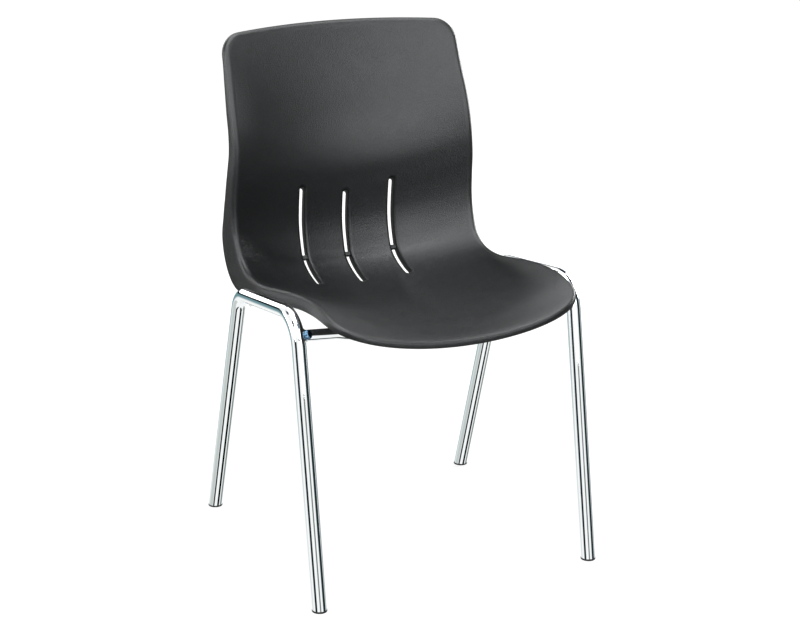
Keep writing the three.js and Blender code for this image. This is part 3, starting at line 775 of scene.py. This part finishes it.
def front_stud(side, line, material):
    """A domed cap saddled on the front of the front cross tube beside the leg."""
    x = side * (FRAME_HALF_WIDTH - STUD_INSET)
    k = int(np.argmax(line[:, 0] >= x))
    t = (x - line[k - 1, 0]) / (line[k, 0] - line[k - 1, 0])
    place = lerp(line[k - 1], line[k], t)
    axis = np.array([0.0, -math.cos(STUD_TILT), math.sin(STUD_TILT)])
    outline = [(0, 0), (STUD_RADIUS, 0), (STUD_RADIUS, CROSS_RADIUS + STUD_SKIRT_SHARE * STUD_HEIGHT)]
    for k in range(1, DOME_STEPS):
        angle = math.pi / 2 * k / DOME_STEPS
        rise = STUD_HEIGHT * lerp(STUD_SKIRT_SHARE, 1, math.sin(angle))
        outline.append((STUD_RADIUS * math.cos(angle), CROSS_RADIUS + rise))
    outline.append((0, CROSS_RADIUS + STUD_HEIGHT))
    parts = MeshParts()
    add_lathe(parts, place, axis, outline, STUD_SIDES)
    node = "front_stud_" + ("left" if side > 0 else "right")
    make_piece(node + "_cap", parts, material, [node])


def foot_glide(end, side, material):
    """A thin rim under the leg's level-cut end, on a plug inside the tube."""
    line = side_line(side)
    foot, up = (line[0], unit(line[1] - line[0])) if end == "front" else (line[-1], unit(line[-2] - line[-1]))
    base = tube_rings(np.array([foot, foot + up]), (1.0, 0, 0), 1.0)[0] - foot
    radius = TUBE_RADIUS + GLIDE_PROUD
    plug = TUBE_RADIUS - TUBE_WALL - GLIDE_CLEARANCE
    outline = [
        (radius - 2 * GLIDE_EDGE, 0.0), (radius - GLIDE_EDGE_MIDDLE, GLIDE_EDGE_MIDDLE), (radius, GLIDE_EDGE),
        (radius, GLIDE_RIM - GLIDE_EDGE), (radius - GLIDE_EDGE_MIDDLE, GLIDE_RIM - GLIDE_EDGE_MIDDLE),
        (radius - GLIDE_EDGE, GLIDE_RIM), (plug, GLIDE_RIM),
    ]
    parts = MeshParts()
    rings = [level_end(foot + base * r, up, h) for r, h in outline]
    rings.append(foot + base * plug + up * GLIDE_PLUG)
    numbers = [parts.add(r) for r in rings]
    parts.rings(numbers)
    parts.faces.append(tuple(numbers[0][::-1]))
    parts.faces.append(tuple(numbers[-1]))
    node = f"foot_glide_{end}_" + ("left" if side > 0 else "right")
    make_piece(node + "_cap", parts, material, [node])


# Materials

class Nodes:
    """Short calls for building one node tree."""

    def __init__(self, tree):
        self.tree = tree

    def node(self, kind, **settings):
        node = self.tree.nodes.new(kind)
        for key, value in settings.items():
            setattr(node, key, value)
        return node

    def join(self, value, target):
        """Sets a socket to a number or a colour, or links another socket to it."""
        if isinstance(value, (int, float)):
            target.default_value = value
        elif isinstance(value, tuple):
            target.default_value = (*value, 1)
        else:
            self.tree.links.new(value, target)

    def ramp(self, value, low, high, to_low=0.0, to_high=1.0, kind="LINEAR"):
        node = self.node("ShaderNodeMapRange", interpolation_type=kind)
        self.join(value, node.inputs["Value"])
        for key, number in (("From Min", low), ("From Max", high), ("To Min", to_low), ("To Max", to_high)):
            node.inputs[key].default_value = number
        return node.outputs["Result"]

    def maths(self, operation, *values):
        node = self.node("ShaderNodeMath", operation=operation)
        for socket, value in zip(node.inputs, values):
            self.join(value, socket)
        return node.outputs[0]

    def mix(self, factor, first, second):
        """A mix of two colours: inputs 0, 6 and 7 are the node's factor and its two colours."""
        node = self.node("ShaderNodeMix", data_type="RGBA")
        for k, value in ((0, factor), (6, first), (7, second)):
            self.join(value, node.inputs[k])
        return node.outputs[2]

    def combine(self, kind, first, second):
        """A node that adds or mixes two shaders."""
        node = self.node(kind)
        self.join(first, node.inputs[-2])
        self.join(second, node.inputs[-1])
        return node


class Surface(Nodes):
    """Short calls for one material in the object's own coordinates, in metres."""

    def __init__(self, name):
        self.material = bpy.data.materials.new(name)
        self.material.use_nodes = True
        super().__init__(self.material.node_tree)
        self.bsdf = self.tree.nodes["Principled BSDF"]
        self.place = self.node("ShaderNodeTexCoord").outputs["Object"]

    def noise(self, scale, detail, roughness=0.55):
        node = self.node("ShaderNodeTexNoise")
        self.join(self.place, node.inputs["Vector"])
        node.inputs["Scale"].default_value = scale
        node.inputs["Detail"].default_value = detail
        node.inputs["Roughness"].default_value = roughness
        return node.outputs["Fac"]

    def cells(self, scale):
        node = self.node("ShaderNodeTexVoronoi")
        self.join(self.place, node.inputs["Vector"])
        node.inputs["Scale"].default_value = scale
        return node.outputs["Distance"]

    def bump(self, height, strength, distance):
        node = self.node("ShaderNodeBump")
        self.join(height, node.inputs["Height"])
        node.inputs["Strength"].default_value = strength
        node.inputs["Distance"].default_value = distance
        self.join(node.outputs["Normal"], self.bsdf.inputs["Normal"])


# Moulded plastic: noise scale and detail, the ranges used, colours, roughness and shares of the bump
GRAIN_SCALE = 620
FINE_NOISE = (1100, 2)
TONE_NOISE = (9, 4)
SPECKLE_NOISE = (450, 3, 0.6)
CLOUD_NOISE = (40, 4)
MIDDLE_RANGE = (0.3, 0.7)
SPECKLE_RANGE = (0.38, 0.62)
PLASTIC_DARK = (0.006, 0.0067, 0.0077)
PLASTIC_LIGHT = (0.009, 0.010, 0.0113)
SPECKLE_DARK = (0.0008, 0.0009, 0.001)
CLOUD_ROUGHNESS = (0.34, 0.40)
SPECKLE_ROUGHNESS = (0.04, -0.04)
GRAIN_SHARE, FINE_SHARE, SPECKLE_SHARE = 0.8, 0.7, 0.5
PLASTIC_BUMP = (0.45, 0.0005)
PLASTIC_SHEEN = {"IOR": 1.5, "Specular IOR Level": 1.0, "Specular Tint": (0.96, 0.985, 1.0, 1.0)}

# Plain finishes: noise of tone and its colours, of wear and its roughness, and of the grain and its bump
CHROME_PLATE = {
    "name": "chrome_plate", "metallic": 1.0, "tone": (14, 3), "dark": (0.90, 0.91, 0.91),
    "light": (0.96, 0.97, 0.97), "wear": (160, 5), "worn": (0.35, 0.75, 0.001, 0.0035), "grain": (700, 4),
    "bump": (0.05, 0.0002),
}
# Studs: the dark navy base colours are a painted reflection of dark surroundings that the domed caps mirror
STUD_PAINTED_REFLECTION = {
    "name": "stud_painted_reflection", "metallic": 1.0, "tone": (60, 3), "dark": (0.05, 0.10, 0.17),
    "light": (0.09, 0.17, 0.26), "wear": (300, 4), "worn": (0.35, 0.75, 0.001, 0.0035), "grain": (700, 4),
    "bump": (0.05, 0.0002),
}
ZINC_PLATED_STEEL = {
    "name": "zinc_plated_steel", "metallic": 1.0, "tone": (90, 4), "dark": (0.42, 0.42, 0.44),
    "light": (0.62, 0.61, 0.58), "wear": (400, 4), "worn": (0.3, 0.7, 0.28, 0.45), "grain": (1400, 3),
    "bump": (0.15, 0.0002),
}
TURNED_BRASS = {
    "name": "turned_brass", "metallic": 1.0, "tone": (120, 3), "dark": (0.50, 0.34, 0.13),
    "light": (0.68, 0.50, 0.22), "wear": (500, 3), "worn": (0.3, 0.7, 0.25, 0.42), "grain": (1600, 3),
    "bump": (0.15, 0.0002),
}
GLIDE_PLASTIC = {
    "name": "glide_plastic", "metallic": 0.0, "tone": (60, 4), "dark": (0.010, 0.010, 0.011),
    "light": (0.022, 0.022, 0.023), "wear": (200, 4), "worn": (0.3, 0.7, 0.45, 0.65), "grain": (900, 3),
    "bump": (0.3, 0.0003),
}


def moulded_plastic():
    """Black plastic with a fine moulded grain, dark specks and a slow change of tone."""
    n = Surface("moulded_plastic")
    grain = n.cells(GRAIN_SCALE)
    fine = n.noise(*FINE_NOISE)
    tone = n.ramp(n.noise(*TONE_NOISE), *MIDDLE_RANGE)
    speckle = n.ramp(n.noise(*SPECKLE_NOISE), *SPECKLE_RANGE)
    colour = n.mix(tone, PLASTIC_DARK, PLASTIC_LIGHT)
    n.join(n.mix(speckle, SPECKLE_DARK, colour), n.bsdf.inputs["Base Color"])
    cloud = n.ramp(n.noise(*CLOUD_NOISE), *MIDDLE_RANGE, *CLOUD_ROUGHNESS)
    pits = n.ramp(speckle, 0.0, 1.0, *SPECKLE_ROUGHNESS)
    n.join(n.maths("ADD", cloud, pits), n.bsdf.inputs["Roughness"])
    height = n.maths("ADD", n.maths("MULTIPLY", grain, GRAIN_SHARE), n.maths("MULTIPLY", fine, FINE_SHARE))
    n.bump(n.maths("ADD", height, n.maths("MULTIPLY", speckle, SPECKLE_SHARE)), *PLASTIC_BUMP)
    for key, value in PLASTIC_SHEEN.items():
        n.bsdf.inputs[key].default_value = value
    return n.material


def plain_finish(look):
    """A metal or plastic with a change of tone, worn places and a fine grain; for the studs the tone's
    colours are a painted navy reflection.
    """
    n = Surface(look["name"])
    n.join(n.mix(n.noise(*look["tone"]), look["dark"], look["light"]), n.bsdf.inputs["Base Color"])
    n.join(n.ramp(n.noise(*look["wear"]), *look["worn"]), n.bsdf.inputs["Roughness"])
    n.bump(n.noise(*look["grain"]), *look["bump"])
    n.bsdf.inputs["Metallic"].default_value = look["metallic"]
    return n.material


def finish_cad_nodes(looks):
    """Gives the CAD nodes that stay in view their procedural materials."""
    for name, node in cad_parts.items():
        for start, material in looks.items():
            if name.startswith(start):
                node.data.materials.clear()
                node.data.materials.append(material)


# Studio

CAMERA_AZIMUTH = -24.73
CAMERA_ELEVATION = 17.33
CAMERA_DISTANCE = 3.269
CAMERA_AIM = (0.00162, -0.00776, 0.36649)
SENSOR_WIDTH = 36
LENS = 94.14

# Floor: half its side, shade for light and as seen, glow as seen, and distances where that turns white
FLOOR_HALF = 12.0
FLOOR_SHADE = 0.6
FLOOR_SEEN_SHADE = 0.25
FLOOR_GLOW = 0.78
FLOOR_FADE = (0.6, 2.4)

# Plain light of the world: height of the direction, from low to high, and strength at both
PLAIN_HEIGHTS = (-0.3, 0.05)
PLAIN_STRENGTHS = (0.22, 0.03)
ROOM_COLOUR = (0.98, 1.0, 1.0)
WHITE = (1.0, 1.0, 1.0)

# Dark cards round the studio, as metal sees them: azimuth from the camera from and to, elevation from and to,
# softness of the edge, all in degrees, and colour
CARDS = [
    (-58, -30, -30, 70, 4, (0.01, 0.02, 0.028)),
    (14, 29, -30, 40, 4, (0.16, 0.19, 0.19)),
    (66, 110, -30, 60, 5, (0.015, 0.03, 0.035)),
    (35, 81, -75, -52, 3, (0.0, 0.004, 0.004)),
    (-56, -32, -75, -43, 4, (0.02, 0.03, 0.03)),
    (106, 138, -48, -32, 6, (0.22, 0.26, 0.26)),
    (-120, -68, -45, -27, 8, (0.58, 0.63, 0.62)),
    (-180, -112, -12, -3, 14, (0.17, 0.30, 0.33)),
    (-180, -112, -1, 4, 5, (0.008, 0.016, 0.02)),
    (126, 180, -19, 10, 3, (0.12, 0.17, 0.19)),
    (66, 100, 46, 62, 5, (0.08, 0.15, 0.22)),
    (68, 92, 15, 30, 4, (0.03, 0.05, 0.06)),
    (117, 178, 5, 57, 5, (0.02, 0.03, 0.06)),
    (-120, -106, 42, 58, 5, (0.06, 0.08, 0.10)),
]

# Softboxes: name, azimuth from the camera and elevation in degrees, width and height in metres, watts
SOFTBOX_DISTANCE = 2.8
SOFTBOX_AIM = (0, 0, 0.45)
SOFTBOXES = [
    ("front_softbox", 0, 45, 1.8, 1.8, 24),
    ("right_softbox", 45, 32, 1.8, 1.8, 19),
    ("low_front_softbox", 20, 8, 1.6, 1.0, 13),
    ("rear_right_softbox", 135, 14, 1.8, 1.2, 66),
    ("rear_softbox", 180, 60, 2.2, 1.6, 14),
    ("top_softbox", 0, 90, 2.2, 2.2, 50),
    ("left_softbox", -95, 12, 1.8, 1.0, 17),
    ("front_left_softbox", -50, 25, 1.6, 1.6, 30),
    ("rear_left_softbox", -150, 22, 1.8, 1.8, 20),
]


def stage_material(name):
    """A pale surface that other rays see plain, and the camera as a shade plus a glow, white far out."""
    material = bpy.data.materials.new(name)
    material.use_nodes = True
    n = Nodes(material.node_tree)
    n.tree.nodes.clear()
    plain, seen = n.node("ShaderNodeBsdfDiffuse"), n.node("ShaderNodeBsdfDiffuse")
    n.join((FLOOR_SHADE,) * 3, plain.inputs["Color"])
    n.join((FLOOR_SEEN_SHADE,) * 3, seen.inputs["Color"])
    distance = n.node("ShaderNodeVectorMath", operation="LENGTH")
    n.join(n.node("ShaderNodeNewGeometry").outputs["Position"], distance.inputs[0])
    glow = n.node("ShaderNodeEmission")
    strength = n.ramp(distance.outputs["Value"], *FLOOR_FADE, FLOOR_GLOW, 1.0, "SMOOTHSTEP")
    n.join(strength, glow.inputs["Strength"])
    both = n.combine("ShaderNodeAddShader", seen.outputs[0], glow.outputs[0])
    path = n.node("ShaderNodeLightPath").outputs
    in_view = n.maths("MAXIMUM", path["Is Camera Ray"], path["Is Glossy Ray"])
    in_view = n.maths("MAXIMUM", in_view, path["Is Transmission Ray"])
    mix = n.combine("ShaderNodeMixShader", plain.outputs[0], both.outputs[0])
    n.join(in_view, mix.inputs[0])
    n.join(mix.outputs[0], n.node("ShaderNodeOutputMaterial").inputs["Surface"])
    return material


def floor():
    r = FLOOR_HALF
    mesh = bpy.data.meshes.new("studio_floor")
    mesh.from_pydata([(-r, -r, 0), (r, -r, 0), (r, r, 0), (-r, r, 0)], [], [(0, 1, 2, 3)])
    obj = bpy.data.objects.new("studio_floor", mesh)
    bpy.context.scene.collection.objects.link(obj)
    mesh.materials.append(stage_material("studio_floor"))
    obj.visible_glossy = False


def window(n, value, low, high, soft):
    """1 between low and high, falling to 0 over soft degrees at both ends."""
    rise = n.ramp(value, low - soft, low, kind="SMOOTHSTEP")
    fall = n.ramp(value, high + soft, high, kind="SMOOTHSTEP")
    return n.maths("MULTIPLY", rise, fall)


def world_light():
    """White for the camera, a white room with dark cards for bright metal, and plain light for the rest."""
    world = bpy.data.worlds.new("studio")
    bpy.context.scene.world = world
    world.use_nodes = True
    n = Nodes(world.node_tree)
    direction = n.node("ShaderNodeTexCoord").outputs["Generated"]
    turn = math.radians(CAMERA_AZIMUTH)
    # The direction's shares to the photograph's right, towards its camera in plan, and up
    facing = []
    for axis in ((math.cos(turn), math.sin(turn), 0), (math.sin(turn), -math.cos(turn), 0), (0, 0, 1)):
        dot = n.node("ShaderNodeVectorMath", operation="DOT_PRODUCT")
        n.join(direction, dot.inputs[0])
        dot.inputs[1].default_value = axis
        facing.append(dot.outputs["Value"])
    azimuth = n.maths("DEGREES", n.maths("ARCTAN2", facing[0], facing[1]))
    elevation = n.maths("DEGREES", n.maths("ARCSINE", facing[2]))
    room = ROOM_COLOUR
    for left, right, low, high, soft, colour in CARDS:
        across, along = window(n, azimuth, left, right, soft), window(n, elevation, low, high, soft)
        inside = n.maths("MULTIPLY", across, along)
        room = n.mix(inside, room, colour)
    plain = n.node("ShaderNodeCombineColor")
    strength = n.ramp(facing[2], *PLAIN_HEIGHTS, *PLAIN_STRENGTHS)
    for socket in plain.inputs:
        n.join(strength, socket)
    # The chrome is smooth enough for its rays to count as singular, and rougher surfaces see the plain light
    path = n.node("ShaderNodeLightPath").outputs
    mirror = n.maths("MAXIMUM", path["Is Singular Ray"], path["Is Transmission Ray"])
    seen = n.mix(path["Is Camera Ray"], n.mix(mirror, plain.outputs[0], room), WHITE)
    n.join(seen, n.tree.nodes["Background"].inputs["Color"])


def direction_at(azimuth, elevation):
    """The direction at an azimuth and an elevation in degrees, with the front at azimuth 0."""
    turn, rise = math.radians(azimuth), math.radians(elevation)
    return Vector((math.sin(turn) * math.cos(rise), -math.cos(turn) * math.cos(rise), math.sin(rise)))


def softbox(name, azimuth, elevation, width, height, watts):
    light = bpy.data.lights.new(name, "AREA")
    light.shape = "RECTANGLE"
    light.size, light.size_y = width, height
    light.energy = watts
    obj = bpy.data.objects.new(name, light)
    bpy.context.scene.collection.objects.link(obj)
    away = direction_at(CAMERA_AZIMUTH + azimuth, elevation)
    obj.location = Vector(SOFTBOX_AIM) + away * SOFTBOX_DISTANCE
    obj.rotation_mode = "QUATERNION"
    obj.rotation_quaternion = away.to_track_quat("Z", "Y")


def camera():
    away = direction_at(CAMERA_AZIMUTH, CAMERA_ELEVATION)
    data = bpy.data.cameras.new("camera")
    data.sensor_width = SENSOR_WIDTH
    data.lens = LENS
    obj = bpy.data.objects.new("camera", data)
    bpy.context.scene.collection.objects.link(obj)
    obj.location = Vector(CAMERA_AIM) + away * CAMERA_DISTANCE
    obj.rotation_mode = "QUATERNION"
    obj.rotation_quaternion = (-away).to_track_quat("-Z", "Y")
    bpy.context.scene.camera = obj


# Assembly

bpy.context.scene.view_settings.view_transform = "Standard"
camera()
plastic, glide = moulded_plastic(), plain_finish(GLIDE_PLASTIC)
plate, stud_reflection = plain_finish(CHROME_PLATE), plain_finish(STUD_PAINTED_REFLECTION)
steel, turned = plain_finish(ZINC_PLATED_STEEL), plain_finish(TURNED_BRASS)
moulded_shell(plastic)
for side, side_name in ((1, "left"), (-1, "right")):
    side_tube("side_tube_" + side_name, side, plate)
    for end in ("front", "rear"):
        foot_glide(end, side, glide)
(front_y, front_height), (rear_y, rear_height) = cross_places()
front_line = cross_tube("front_cross_tube", front_y, front_height, plate)
cross_tube("rear_cross_tube", rear_y, rear_height, plate)
# The domed studs get the metal whose dark navy colour is a painted reflection
for side in (1, -1):
    front_stud(side, front_line, stud_reflection)
finish_cad_nodes({"mounting_tab": plate, "threaded_insert": turned, "washer": steel, "screw": steel})

floor()
world_light()
for settings in SOFTBOXES:
    softbox(*settings)
